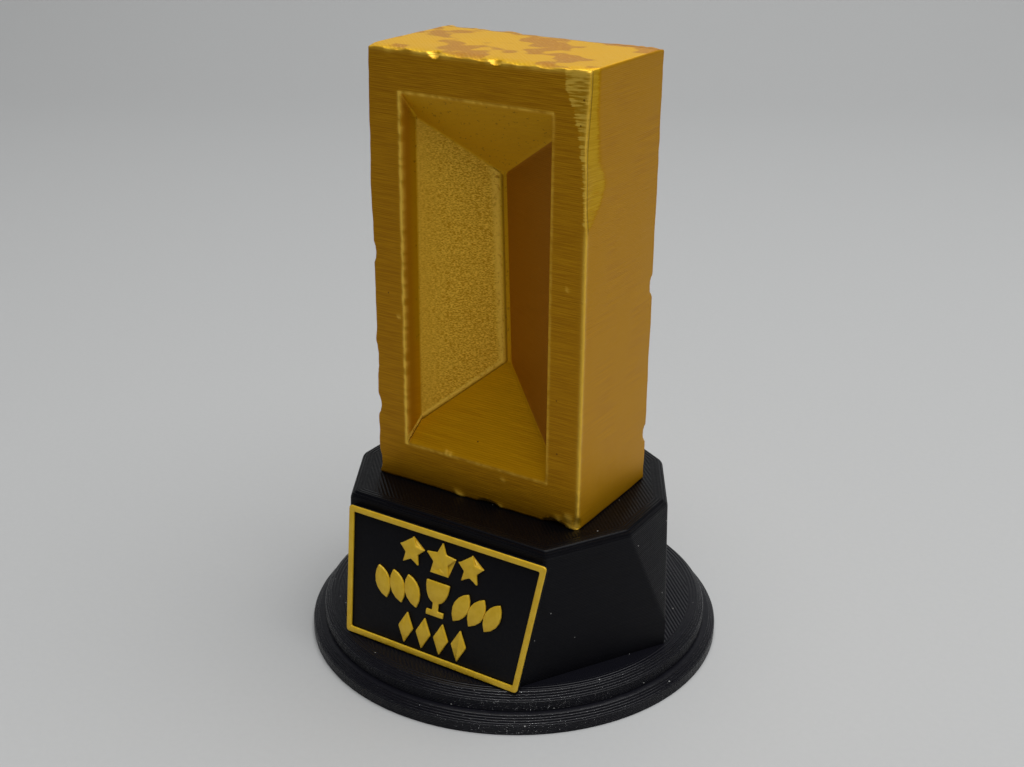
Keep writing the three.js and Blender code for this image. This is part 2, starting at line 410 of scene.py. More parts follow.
def stretch(tree, value, low, high):
    """The value's range from low to high, spread over 0 to 1."""
    spread = {"Value": value, "From Min": low, "From Max": high}
    return add(tree, "MapRange", spread, interpolation_type="SMOOTHSTEP").outputs[0]


def line_at(tree, distance, middle, half_width):
    """1 where the distance is middle, falling to 0 at half_width to either side."""
    off = math_of(tree, "ABSOLUTE", math_of(tree, "SUBTRACT", distance, middle))
    return opposite(tree, stretch(tree, off, 0.0, half_width))


def new_material(name):
    material = bpy.data.materials.new(name)
    material.use_nodes = True
    shader = material.node_tree.nodes["Principled BSDF"]
    return material, material.node_tree, shader


def millimetres(tree):
    """The point's place in millimetres, as a vector and as x, y and z."""
    place = add(tree, "TexCoord").outputs["Object"]
    scaled = add(tree, "VectorMath", {0: place, 3: 1 / MM}, operation="SCALE").outputs[0]
    parts = add(tree, "SeparateXYZ", {0: scaled}).outputs
    return scaled, parts[0], parts[1], parts[2]


def mark(tree, name):
    """A named value that the mesh carries."""
    return add(tree, "Attribute", attribute_name=name).outputs["Fac"]


def wave(tree, distance, period):
    """Ridges from -1 to 1 across a distance, one for each period."""
    return math_of(tree, "SINE", math_of(tree, "MULTIPLY", distance, 2 * math.pi / period))


def filling_lines(tree, x, y):
    """The diagonal printed lines that fill a top surface."""
    return wave(tree, math_of(tree, "ADD", x, y), LINE * math.sqrt(2))


def facing(tree, axis, low, high):
    """How far the surface faces along an axis: 0 at low or less, 1 at high or more."""
    normal = add(tree, "NewGeometry").outputs["Normal"]
    return stretch(tree, add(tree, "SeparateXYZ", {0: normal}).outputs[axis], low, high)


def upward(tree):
    return facing(tree, 2, 0.75, 0.9)


def frontward(tree):
    return facing(tree, 1, -0.8, -0.97)


def streaks(tree, place, run, height, detail):
    """Noise drawn out along the printed layers: run and height are the size of a streak."""
    squeezed = add(tree, "Mapping", {0: place, 3: (1 / run, 1 / run, 1 / height)}, vector_type="POINT")
    spots = {"Vector": squeezed.outputs[0], "Scale": 1.0, "Detail": detail, "Roughness": 0.6}
    return add(tree, "TexNoise", spots).outputs["Fac"]


def grain(tree, place, size, detail):
    """Noise with grains of one size in every direction."""
    spots = {"Vector": place, "Scale": 1 / size, "Detail": detail, "Roughness": 0.6}
    return add(tree, "TexNoise", spots).outputs["Fac"]


def scattered(tree, place, spacing, radius, left_out):
    """1 on small dots about one spacing apart, with a share of them left out. radius is a share
    of the spacing."""
    cells = add(tree, "TexVoronoi", {"Vector": place, "Scale": 1 / spacing})
    dot = math_of(tree, "LESS_THAN", cells.outputs["Distance"], radius)
    chance = add(tree, "SeparateColor", {0: cells.outputs["Color"]}).outputs[0]
    return product(tree, dot, math_of(tree, "GREATER_THAN", chance, left_out))


def set_bump(tree, shader, height):
    """height is in millimetres."""
    bump = add(tree, "Bump", {"Height": height, "Distance": MM, "Strength": 1.0})
    tree.links.new(bump.outputs[0], shader.inputs["Normal"])


def gold_places(tree, x, z, texture):
    """Where each feature of the brick lies, from 0 to 1, out of the marks that its mesh carries."""
    inside, left_slope, on_side = (mark(tree, name) for name in ("inside", "left_slope", "on_side"))
    hip, edge, strip_depth = (mark(tree, name) for name in ("hip", "edge", "worn"))

    left_side = product(tree, inside, stretch(tree, mark(tree, "below_upper"), 0.0, 0.1))
    broken = stretch(tree, texture["spots"], 0.2, 0.5)
    ridge = product(tree, line_at(tree, hip, *RIDGE), left_side, broken)
    shaded_crease = product(tree, line_at(tree, hip, *CREASE), left_side)

    # The right slope and the left wall of the hollow get painted shade.
    right_slope = product(tree, stretch(tree, mark(tree, "turned_away"), 0.0, 0.08), inside)
    left_wall = product(tree, inside, stretch(tree, x, *LEFT_WALL_X))
    others = largest(tree, left_slope, right_slope, left_wall)
    above = stretch(tree, z, *LOWER_SLOPE_ENDS_Z)
    upper_slope = product(tree, inside, above, opposite(tree, others))

    # The worn strip's outline is jagged along the layers, and softer on the side.
    jagged = total(tree, (texture["scratch"], 1.6), (strip_depth, 1.0))
    blur = math_of(tree, "MULTIPLY_ADD", on_side, 0.4, 0.25)
    worn = stretch(tree, math_of(tree, "SUBTRACT", jagged, 0.8), 0.0, blur)
    near_strip = stretch(tree, strip_depth, -0.2, 0.1)
    strip_edge = product(tree, line_at(tree, edge, *STRIP_EDGE), near_strip)
    strip_seam = product(tree, line_at(tree, edge, *STRIP_SEAM), near_strip, on_side)

    return {
        "front": product(tree, frontward(tree), opposite(tree, inside)),
        "on_side": on_side,
        "left_slope": left_slope,
        "right_slope": right_slope,
        "left_wall": left_wall,
        "upper_slope": upper_slope,
        "pores": product(tree, stretch(tree, texture["spots"], 0.62, 0.7), upper_slope),
        "ridge": ridge,
        "worn": worn,
        "scuffed": largest(tree, mark(tree, "chip"), worn),
        "bead_highlights": largest(tree, mark(tree, "bead_highlight"), ridge, strip_edge),
        "shaded_creases": largest(tree, shaded_crease, strip_seam),
        "groove": line_at(tree, mark(tree, "back"), *TOP_GROOVE),
    }


def gold_body_colour(tree, texture, places):
    """The plain gold, a little different on each face. The right slope and the left wall of the
    hollow and the front are given deeper colours than the light alone makes them."""
    body = mix_colour(tree, stretch(tree, texture["line"], 0.3, 0.7), gold("body_deep"), gold("body_light"))
    body = mix_colour(tree, stretch(tree, texture["cloud"], 0.35, 0.65), body, gold("body_cloud"))
    lined = stretch(tree, texture["face_line"], 0.32, 0.68)
    front = mix_colour(tree, lined, gold("front_painted_shade_deep"), gold("front_painted_shade_light"))
    body = mix_colour(tree, places["front"], body, front)
    body = mix_colour(tree, places["right_slope"], body, gold("right_slope"))
    return mix_colour(tree, product(tree, places["left_wall"], 0.7), body, gold("left_wall"))


def gold_left_slope_colour(tree, x, texture):
    """The left slope is painted lighter than the light alone makes it, speckled with painted glints where
    its rough layers catch the light, and smoother near its wall.
    """
    contrast = math_of(tree, "MULTIPLY_ADD", stretch(tree, x, *LEFT_SLOPE_ROUGHENS_X), 0.6, 0.4)
    uneven = product(tree, math_of(tree, "SUBTRACT", texture["speck"], 0.5), contrast)
    glint_speckles = stretch(tree, uneven, -0.17, 0.17)
    return mix_colour(tree, glint_speckles, gold("left_slope_deep"), gold("left_slope_painted_glint"))


def gold_scuffed_colour(tree, texture, places):
    """Knocked and worn places are paler, and on the side they are yellower."""
    scratched = stretch(tree, texture["scratch"], 0.4, 0.6)
    front = mix_colour(tree, scratched, gold("scuff_deep"), gold("scuff_light"))
    lined = stretch(tree, texture["line"], 0.35, 0.65)
    side = mix_colour(tree, lined, gold("side_scuff_deep"), gold("side_scuff_light"))
    return mix_colour(tree, places["on_side"], front, side)


def gold_side_colour(tree, x, texture, places, pits):
    body = gold_body_colour(tree, texture, places)
    colour = mix_colour(tree, places["left_slope"], body, gold_left_slope_colour(tree, x, texture))
    scuffed = gold_scuffed_colour(tree, texture, places)
    colour = mix_colour(tree, product(tree, places["scuffed"], 0.8), colour, scuffed)
    # Painted shade in the small pits.
    colour = mix_colour(tree, pits, colour, gold("pit_shade"))
    # The upper slope hangs over, so it printed with small pores, which are painted dark as shade in them.
    colour = mix_colour(tree, product(tree, places["upper_slope"], 0.5), colour, gold("upper_slope"))
    colour = mix_colour(tree, product(tree, places["pores"], 0.6), colour, gold("pore_shade"))
    # Painted shade darkens the crease beside the hip ridge and the seam along the worn strip.
    colour = mix_colour(tree, product(tree, places["shaded_creases"], 0.6), colour, gold("shaded_crease"))
    # Painted highlight on the lips, the seams, the burrs, the hip ridge and the edge of the worn strip.
    return mix_colour(tree, places["bead_highlights"], colour, gold("bead_highlight"))


def gold_top_colour(tree, x, y, texture, places):
    """The top shows where the filling lines changed direction: tan patches between lighter ones, a painted
    difference in sheen between lines that run different ways.
    """
    patch = total(
        tree,
        (wave(tree, math_of(tree, "ADD", x, y), 13.0), 0.22),
        (wave(tree, math_of(tree, "SUBTRACT", x, y), 19.0), 0.12),
        (texture["patch"], 1.7),
    )
    top = mix_colour(tree, stretch(tree, patch, 0.86, 1.02), gold("top"), gold("top_patch_sheen"))
    spotted = product(tree, stretch(tree, texture["spots"], 0.5, 0.75), 0.5)
    top = mix_colour(tree, spotted, top, gold("top_spot"))
    # Painted shade in the groove along the back of the top.
    top = mix_colour(tree, product(tree, places["groove"], 0.9), top, gold("top_groove_shade"))
    # Painted highlight along the rim of the top.
    return mix_colour(tree, places["bead_highlights"], top, gold("top_bead_highlight"))


def silk_gold_print():
    """Silk PLA, printed upright: mica in the plastic gives broad, slightly metallic highlights,
    and the layers show as fine level lines with darker and lighter streaks."""
    material, tree, shader = new_material("silk_gold_print")
    place, x, y, z = millimetres(tree)
    up = upward(tree)
    texture = {name: streaks(tree, place, *sizes) for name, sizes in GOLD_STREAKS.items()}
    texture |= {name: grain(tree, place, *sizes) for name, sizes in GOLD_GRAINS.items()}
    places = gold_places(tree, x, z, texture)
    pits = scattered(tree, place, spacing=2.2, radius=0.05, left_out=0.72)

    side_colour = gold_side_colour(tree, x, texture, places, pits)
    top_colour = gold_top_colour(tree, x, y, texture, places)
    tree.links.new(mix_colour(tree, up, side_colour, top_colour), shader.inputs["Base Color"])

    uneven = total(tree, (texture["line"], 0.12), (places["left_slope"], 0.06), (places["scuffed"], 0.06))
    tree.links.new(math_of(tree, "ADD", uneven, 0.38), shader.inputs["Roughness"])
    shader.inputs["Metallic"].default_value = 0.5
    shader.inputs["IOR"].default_value = PLA_IOR
    shader.inputs["Specular IOR Level"].default_value = 0.15

    patterns = {
        "layers": product(tree, wave(tree, z, LAYER), opposite(tree, up)),
        "line": texture["line"],
        "face_line": product(tree, texture["face_line"], places["front"]),
        "ripple": texture["ripple"],
        "cloud": texture["cloud"],
        "filling": product(tree, filling_lines(tree, x, y), up),
        "top_spots": product(tree, texture["spots"], up),
        "groove": product(tree, places["groove"], up),
        "left_slope_grain": product(tree, texture["speck"], places["left_slope"]),
        "scuffs": product(tree, texture["scratch"], places["scuffed"], opposite(tree, places["on_side"])),
        "worn": places["worn"],
        "ridge": places["ridge"],
        "shaded_creases": places["shaded_creases"],
        "pits": pits,
    }
    set_bump(tree, shader, total(tree, *((patterns[name], relief) for name, relief in GOLD_RELIEF.items())))
    return material


def black_print(name, top_colour, specular, roughness, top_dullness, hatch_height, ripple_height):
    """Black PLA: satin, a little bluish, with the diagonal filling lines of the top surfaces,
    upright ripples in its sides and a few specks of dust."""
    material, tree, shader = new_material(name)
    place, x, y = millimetres(tree)[:3]
    up = upward(tree)
    cloud = grain(tree, place, 4.0, 3.0)
    streak = streaks(tree, place, 4.0, 0.4, 2.0)
    ripple = streaks(tree, place, 0.3, 1.0, 2.0)

    base = mix_colour(tree, cloud, srgb("#08080c"), srgb("#0d0d13"))
    # Painted light on the tops: the foot's is a little lighter as sheen, the pedestal's darker as a painted
    # reflection of the dark brick above it.
    base = mix_colour(tree, product(tree, up, 0.8), base, srgb(top_colour))
    dust = scattered(tree, place, spacing=1.6, radius=0.055, left_out=0.62)
    tree.links.new(mix_colour(tree, dust, base, srgb("#8a8a88")), shader.inputs["Base Color"])

    uneven = total(tree, (streak, 0.16), (cloud, 0.08), (up, top_dullness))
    tree.links.new(math_of(tree, "ADD", uneven, roughness), shader.inputs["Roughness"])
    shader.inputs["IOR"].default_value = PLA_IOR
    shader.inputs["Specular IOR Level"].default_value = specular

    # A few lines run round the edge of a top, and diagonal ones fill the rest.
    rim = mark(tree, "rim")
    filled = math_of(tree, "GREATER_THAN", rim, (RIM_LINES - 0.1) * LINE)
    round_lines = wave(tree, rim, LINE)
    hatch = filling_lines(tree, x, y)
    lines = add(tree, "Mix", {0: filled, 2: round_lines, 3: hatch}, data_type="FLOAT").outputs[0]
    height = total(
        tree,
        (product(tree, lines, up), hatch_height),
        (product(tree, ripple, opposite(tree, up)), ripple_height),
        (streak, 0.03),
        (cloud, 0.05),
        (grain(tree, place, 0.5, 2.0), 0.012),
    )
    set_bump(tree, shader, height)
    return material


def plaque_black_print():
    """The same black PLA, printed lying down: its face is the fine-grained first layer."""
    material, tree, shader = new_material("plaque_black_print")
    place = millimetres(tree)[0]
    cloud = grain(tree, place, 2.5, 3.0)
    fine = grain(tree, place, 0.35, 3.0)
    colour = mix_colour(tree, cloud, srgb("#08080c"), srgb("#0f0f14"))
    tree.links.new(colour, shader.inputs["Base Color"])
    uneven = total(tree, (fine, 0.2), (cloud, 0.1))
    tree.links.new(math_of(tree, "ADD", uneven, 0.34), shader.inputs["Roughness"])
    shader.inputs["IOR"].default_value = PLA_IOR
    shader.inputs["Specular IOR Level"].default_value = 0.16
    set_bump(tree, shader, total(tree, (fine, 0.03), (cloud, 0.04)))
    return material


def satin_yellow_print():
    """Gold-yellow PLA in one or two raised layers: soft-edged, with faint uneven filling."""
    material, tree, shader = new_material("satin_yellow_print")
    place = millimetres(tree)[0]
    cloud = grain(tree, place, 1.2, 2.0)
    fine = grain(tree, place, 0.3, 3.0)
    colour = mix_colour(tree, stretch(tree, cloud, 0.35, 0.65), srgb("#e4b824"), srgb("#ecc232"))
    tree.links.new(colour, shader.inputs["Base Color"])
    tree.links.new(math_of(tree, "MULTIPLY_ADD", fine, 0.25, 0.28), shader.inputs["Roughness"])
    shader.inputs["Metallic"].default_value = 0.15
    shader.inputs["IOR"].default_value = PLA_IOR
    set_bump(tree, shader, total(tree, (fine, 0.04), (cloud, 0.03)))
    return material


def pale_card():
    """Matt pale grey card."""
    material, tree, shader = new_material("pale_card")
    tooth = grain(tree, millimetres(tree)[0], 0.8, 2.0)
    colour = mix_colour(tree, tooth, srgb("#babbbb"), srgb("#bebfbf"))
    tree.links.new(colour, shader.inputs["Base Color"])
    shader.inputs["Roughness"].default_value = 0.9
    return material


GOLD = silk_gold_print()
# The foot's top is painted a little lighter as sheen; the pedestal's top darker, as a painted reflection of
# the dark brick.
FOOT_BLACK = black_print(
    "foot_black_print",
    "#0c0c11",
    specular=0.27,
    roughness=0.03,
    top_dullness=0.15,
    hatch_height=0.03,
    ripple_height=0.14,
)
PEDESTAL_BLACK = black_print(
    "pedestal_black_print",
    "#040406",
    specular=0.15,
    roughness=0.3,
    top_dullness=-0.1,
    hatch_height=0.018,
    ripple_height=0.006,
)
PLAQUE_BLACK = plaque_black_print()
YELLOW = satin_yellow_print()


# ---------------------------------------------------------------- foot
def foot():
    """Two round tiers, each with a bevel of four printed steps."""
    low, high = (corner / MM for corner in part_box("foot"))
    centre = (low + high) / 2
    lower_radius = (high.x - low.x) / 2
    turn = np.linspace(0, 2 * math.pi, FOOT_POINTS, endpoint=False)

    def outline(z, inset):
        upper = z > FOOT_TIER
        tier_top = 2 * FOOT_TIER if upper else FOOT_TIER
        radius = FOOT_UPPER_RADIUS if upper else lower_radius
        bevel = max(0.0, z - (tier_top - FOOT_BEVEL))
        reach = radius - bevel - inset
        return np.column_stack([centre.x + reach * np.cos(turn), centre.y + reach * np.sin(turn)])

    sides = printed_rings(outline, low.z, low.z + FOOT_TIER)
    sides += printed_rings(outline, FOOT_TIER, high.z)
    ringed_print("foot", sides, outline, high.z, FOOT_BLACK)


# ---------------------------------------------------------------- pedestal
def meeting_points(sides):
    """Corners of an outline whose sides are [facing in degrees, distance from the centre]."""
    corners = []
    for (facing, reach), (next_facing, next_reach) in zip(sides, sides[1:] + sides[:1]):
        a, b = math.radians(facing), math.radians(next_facing)
        turn = math.sin(b - a)
        x = (reach * math.sin(b) - next_reach * math.sin(a)) / turn
        y = (next_reach * math.cos(a) - reach * math.cos(b)) / turn
        corners.append((x, y))
    return np.array(corners)


def rounded_corners(corners, radius, steps):
    """Each corner turned into a short curve, within what its two sides have room for."""
    before, after = np.roll(corners, 1, axis=0), np.roll(corners, -1, axis=0)
    points = []
    for previous, corner, following in zip(before, corners, after):
        ends = []
        for neighbour in (previous, following):
            run = neighbour - corner
            length = np.linalg.norm(run)
            ends.append(corner + run * min(radius / max(length, 1e-6), 0.45))
        for t in np.linspace(0, 1, steps):
            points.append((1 - t) ** 2 * ends[0] + 2 * t * (1 - t) * corner + t * t * ends[1])
    return np.array(points)


def pedestal():
    """A six-sided prism with leaning triangular facets and a leaning front, and a round-shouldered
    bevel in printed steps."""
    low, high = (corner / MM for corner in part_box("pedestal"))
    middle_x = (low.x + high.x) / 2
    edge_reach = (high.x - low.x) / 2
    side_reach = edge_reach * math.cos(math.radians(30))
    middle_y = high.y - side_reach
    front_reach = middle_y - low.y
    shoulder = high.z - PEDESTAL_BEVEL
    tip = low.z + PEDESTAL_FACET_TIP

    def outline(z, inset):
        up = (z - low.z) / (shoulder - low.z)
        facet_up = max(0.0, (z - tip) / (shoulder - tip))
        facet_reach = edge_reach + (PEDESTAL_FACET_REACH - edge_reach) * min(1.0, facet_up)
        front = front_reach - PEDESTAL_FACE_RUN * min(1.0, up)
        bevel = max(0.0, z - shoulder) / PEDESTAL_BEVEL
        drawn_in = inset + PEDESTAL_BEVEL * (1 - math.sqrt(1 - min(bevel, 1.0) ** 2))
        sides = [(-90, front)]
        for facing in range(-30, 211, 30):
            on_facet = facing % 60 == 0
            sides.append((facing, facet_reach if on_facet else side_reach))
        corners = meeting_points([(facing, reach - drawn_in) for facing, reach in sides])
        return rounded_corners(corners, PEDESTAL_CORNER, CORNER_STEPS) + (middle_x, middle_y)

    sides = printed_rings(outline, low.z, high.z, PEDESTAL_ROUNDNESS)
    ringed_print("pedestal", sides, outline, high.z, PEDESTAL_BLACK)


# ---------------------------------------------------------------- brick
def grid_lines(low, high, step, details, fine):
    """Evenly spaced lines, with closer ones around each detail."""
    lines = [low, high, *details]
    offsets = [side * count * fine for count in range(1, 5) for side in (-1, 1)]
    wanted = [detail + offset for detail in (low, high, *details) for offset in offsets]
    wanted += np.linspace(low, high, round((high - low) / step) + 1).tolist()
    for line in wanted:
        if low < line < high and min(abs(line - kept) for kept in lines) > 0.6 * fine:
            lines.append(line)
    return np.array(sorted(lines))


def lattice_box(xs, ys, zs):
    """The skin of a box as quads, with a corner where the lines cross."""
    lines = (xs, ys, zs)
    low_quad = ((0, 1), (1, 1), (1, 0), (0, 0))
    high_quad = ((0, 0), (1, 0), (1, 1), (0, 1))
    quads = []
    for axis, (u, v) in enumerate(((1, 2), (2, 0), (0, 1))):
        a, b = np.meshgrid(np.arange(len(lines[u]) - 1), np.arange(len(lines[v]) - 1), indexing="ij")
        for end, steps in ((0, low_quad), (len(lines[axis]) - 1, high_quad)):
            corner = np.zeros((*a.shape, 4, 3), int)
            corner[..., axis] = end
            for i, (du, dv) in enumerate(steps):
                corner[..., i, u] = a + du
                corner[..., i, v] = b + dv
            quads.append(corner.reshape(-1, 4, 3))
    corners = np.concatenate(quads).reshape(-1, 3)
    found, index = np.unique(corners, axis=0, return_inverse=True)
    points = np.column_stack([line[found[:, i]] for i, line in enumerate(lines)])
    return points, index.reshape(-1, 4)


def frog_depths(side, z):
    """How deep each surface of the hollow would lie. side is the distance from the middle,
    towards the wall and the slope that are asked for."""
    floor_share = (z - FROG["floor_bottom"]) / (FROG["floor_top"] - FROG["floor_bottom"])
    floor_rise = FROG["floor_top_depth"] - FROG["floor_bottom_depth"]
    floor = FROG["floor_bottom_depth"] + floor_rise * np.clip(floor_share, 0, 1)
    wall_run = (FROG["half_width"] - side) / (FROG["half_width"] - FROG["wall_half_width"])
    wall = FROG["wall_depth"] * wall_run
    slope_run = (FROG["wall_half_width"] - side) / (FROG["wall_half_width"] - FROG["floor_half_width"])
    slope = FROG["wall_depth"] + (floor - FROG["wall_depth"]) * slope_run
    lower = FROG["floor_bottom_depth"] * (z - FROG["bottom"]) / (FROG["floor_bottom"] - FROG["bottom"])
    upper = FROG["floor_top_depth"] * (FROG["top"] - z) / (FROG["top"] - FROG["floor_top"])
    return wall, slope, lower, upper, floor


def hump(distance, width):
    """1 at no distance, falling smoothly to about a third at one width."""
    return np.exp(-((distance / width) ** 2))


def stretch_array(value, low, high):
    """What stretch does in a shader, for an array."""
    share = np.clip((value - low) / (high - low), 0, 1)
    return share * share * (3 - 2 * share)


def lip(side, outside, within):
    """The lip on one side of the mouth. outside is how far past that side a point lies."""
    height, distance, width = LIPS[side]
    return height * hump(outside - distance, width) * within


def press_frog(points, marks):
    """Presses the hollow into the face, with the uneven lips that the printer left on its edges.
    hip, below_upper and turned_away say how far other surfaces lie below the left or the right
    slope."""
    x, z = points[:, 0], points[:, 2]
    on_face = points[:, 1] < 1e-6
    wall, slope, lower, upper, floor = frog_depths(np.abs(x), z)
    depth = np.minimum.reduce([wall, slope, lower, upper, floor])
    inside = on_face & (depth > 0)
    left_wall, left_slope = frog_depths(-x, z)[:2]
    left = np.minimum(left_wall, left_slope)
    right_slope = frog_depths(x, z)[1]
    beside_slopes = np.minimum.reduce([lower, upper, floor])
    marks["inside"] = inside * 1.0
    marks["hip"] = np.where(on_face, np.minimum(lower, floor) - left, FAR_OFF)
    marks["below_upper"] = np.where(on_face, upper - left, FAR_OFF)
    marks["turned_away"] = np.where(on_face, beside_slopes - right_slope, FAR_OFF)
    on_left_slope = inside & (left_wall >= left_slope - 1e-6)
    marks["left_slope"] = np.where(on_left_slope, stretch_array(beside_slopes - left_slope, 0.0, 0.12), 0)

    along_side = (z > FROG["bottom"] - LIP_OVERRUN) & (z < FROG["top"] + LIP_OVERRUN)
    across = np.abs(x) < FROG["half_width"] + LIP_OVERRUN
    lips = lip("left", -x - FROG["half_width"], along_side)
    lips += lip("right", x - FROG["half_width"], along_side)
    lips += lip("lower", FROG["bottom"] - z, across)
    lips += lip("upper", z - FROG["top"], across)
    blobs = 0.75 + 0.6 * noise(points * (1, 0, 1), 0.42)
    lips *= blobs * on_face
    points[:, 1] += np.where(inside, np.maximum(depth, 0), 0) - lips
    # The lips get a painted highlight where they stand high.
    marks["bead_highlight"] = np.clip(lips / LIP_FULL_HIGHLIGHT, 0, 1)


def scoop(points, chip):
    """Moves the points inside a rounded scoop to its far side, away from the edge it sits on, and
    returns how far each one moved."""
    centre, radii = np.array(chip[:3]), np.array(chip[3:])
    near = 0.5  # a scoop's centre this close to a face of the block cuts in from that face
    inward = np.where(centre < BLOCK_LOW + near, 1.0, np.where(centre > BLOCK_HIGH - near, -1.0, 0.0))
    inward /= np.linalg.norm(inward)
    # In units of the scoop's radii it is a ball, and the point's way to its far side is a
    # quadratic's larger root.
    q = (points - centre) / radii
    e = inward / radii
    a, b, c = e @ e, q @ e, np.sum(q * q, axis=1) - 1
    root = np.sqrt(np.maximum(b * b - a * c, 0))
    moved = np.where(c < 0, np.maximum((root - b) / a, 0), 0)
    points += moved[:, None] * inward
    return moved


def soften_edges(points):
    """Rounds the edges of the block by a radius that wanders a little along them."""
    wander = BRICK_EDGE_RADIUS * (1 + 0.35 * noise(points, 1.3))[:, None]
    inner = np.clip(points, BLOCK_LOW + wander, BLOCK_HIGH - wander)
    away = points - inner
    length = np.linalg.norm(away, axis=1, keepdims=True)
    return np.where(length > wander, inner + away * wander / np.maximum(length, 1e-9), points)


def wander_edges(points):
    """Lets the upright edges and those of the top wander in and out, as on a worn brick."""
    for x_side, y_side, amount in EDGE_WANDER:
        from_edge = np.hypot(points[:, 0] - x_side * EDGE, points[:, 1] - y_side * BACK)
        shape = points * (0, 0, 1) + (x_side * 7.3, y_side * 11.9, 0)
        rough = noise(shape, 5.0) + 0.3 * noise(shape, 1.4)
        points[:, 0] += x_side * amount * hump(from_edge, 2.2) * (rough - 0.5)
    for y_side in (0, 1):
        from_edge = np.hypot(points[:, 1] - y_side * BACK, points[:, 2] - TOP)
        shape = points * (1, 0, 0) + (0, y_side * 5.1, 3.7)
        rough = noise(shape, 1.7) + 0.6 * noise(shape, 0.5)
        points[:, 2] += TOP_WANDER * hump(from_edge, 0.8) * (rough - 1.1)


def corner_bead(points, marks):
    """The seam that the printer left up the front right edge, with a painted highlight, and a painted
    highlight along the rim of the top.
    """
    from_edge = np.hypot(points[:, 0] - EDGE, points[:, 1])
    fade_low, fade_high = SEAM_FADE
    full = stretch_array(-points[:, 2], -fade_high, -fade_low)
    seam = hump(from_edge, SEAM_WIDTH) * (SEAM_FAINT + (1 - SEAM_FAINT) * full)
    size = seam * (0.6 + 0.5 * noise(points * (0, 0, 1), 0.5))
    points[:, 0] += SEAM_RAISE[0] * size
    points[:, 1] -= SEAM_RAISE[1] * size
    to_top = np.hypot(points[:, 1], points[:, 2] - TOP)
    top_rim_highlight = hump(to_top, TOP_RIM_WIDTH) * (0.75 + 0.5 * noise(points * (1, 0, 0), 0.9))
    marks["bead_highlight"] = np.clip(marks["bead_highlight"] + seam + top_rim_highlight, 0, 1)


def burrs(points, marks):
    """Small bits of plastic that stand up from the face by half their size, each with a painted highlight.
    """
    near_face = points[:, 1] < 0.3
    for x, z, size in BURRS:
        away = np.hypot(points[:, 0] - x, points[:, 2] - z)
        lump = hump(away, size) * near_face * (0.8 + 0.5 * noise(points, 0.25))
        points[:, 1] -= 0.5 * size * lump
        marks["bead_highlight"] = np.clip(marks["bead_highlight"] + lump, 0, 1)


def wear_strip(points, marks):
    """Wears the long strip into the front right edge. worn says how far inside the strip a point
    lies, and edge how far from the edge."""
    heights, face_reaches, side_reaches = np.array(WORN_STRIP).T
    across_face = np.interp(points[:, 2], heights, face_reaches) - (EDGE - points[:, 0])
    across_side = np.interp(points[:, 2], heights, side_reaches) - points[:, 1]
    marks["worn"] = np.clip(np.minimum(across_face, across_side), -1, 1)
    marks["on_side"] = (points[:, 0] > EDGE - 0.3) * (points[:, 1] > 0.1) * 1.0
    marks["edge"] = np.clip(np.hypot(points[:, 0] - EDGE, points[:, 1]), 0, 3)
    worn = marks["worn"] > 0
    share, stop = STRIP_FACE_WEAR
    back = share * np.clip(across_face, 0, stop) * np.clip(across_side, 0, 1)
    share, stop = STRIP_SIDE_WEAR
    inward = share * np.clip(across_side, 0, stop) * np.clip(across_face, 0, 1)
    points[:, 1] += np.where(worn, back, 0)
    points[:, 0] -= np.where(worn, inward, 0)


def knock_edges(points, marks):
    """Scoops out the chips and leaves their surface a little jagged."""
    moved = sum(scoop(points, chip) for chip in CHIPS)
    marks["chip"] = np.clip(moved / CHIP_FULL_DEPTH, 0, 1)
    jag = CHIP_JAG * marks["chip"] * noise(points, (0.5, 0.5, 0.4))
    points[:, 0] -= jag
    points[:, 1] += jag


def brick():
    """The block with its hollow and its printed seams, and then its wear."""
    low, high = (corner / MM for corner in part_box("brick"))
    half, wall_half = FROG["half_width"], FROG["wall_half_width"]
    x_step, y_step, z_step = BRICK_STEPS
    xs = grid_lines(-EDGE, EDGE, x_step, [-half, -wall_half, wall_half, half], BRICK_FINE_STEP)
    ys = grid_lines(0, BACK, y_step, [], BRICK_FINE_STEP)
    zs = grid_lines(0, TOP, z_step, [FROG["bottom"], FROG["top"]], BRICK_FINE_STEP)
    points, quads = lattice_box(xs, ys, zs)
    marks = {}
    press_frog(points, marks)
    points = np.where(marks["inside"][:, None] > 0, points, soften_edges(points))
    marks["back"] = BACK - points[:, 1]
    corner_bead(points, marks)
    wear_strip(points, marks)
    burrs(points, marks)
    wander_edges(points)
    knock_edges(points, marks)
    points += ((low.x + high.x) / 2, low.y, low.z)
    piece = mesh_piece("brick_print", points, quads, GOLD, marks)
    shade(piece, SOFT_SHARP_FROM)
    stand_for(piece, "brick")


# ---------------------------------------------------------------- plaque
PLATE_ROUNDING = 0.08
RAISED_ROUNDING = 0.1
SAME_POINT = 0.002  # points of the plaque closer than this are one
FLAT_TURN = 1.5  # degrees of turn below which neighbouring faces are one
ROUNDED_TURN = 0.9  # radians of turn above which an edge is rounded


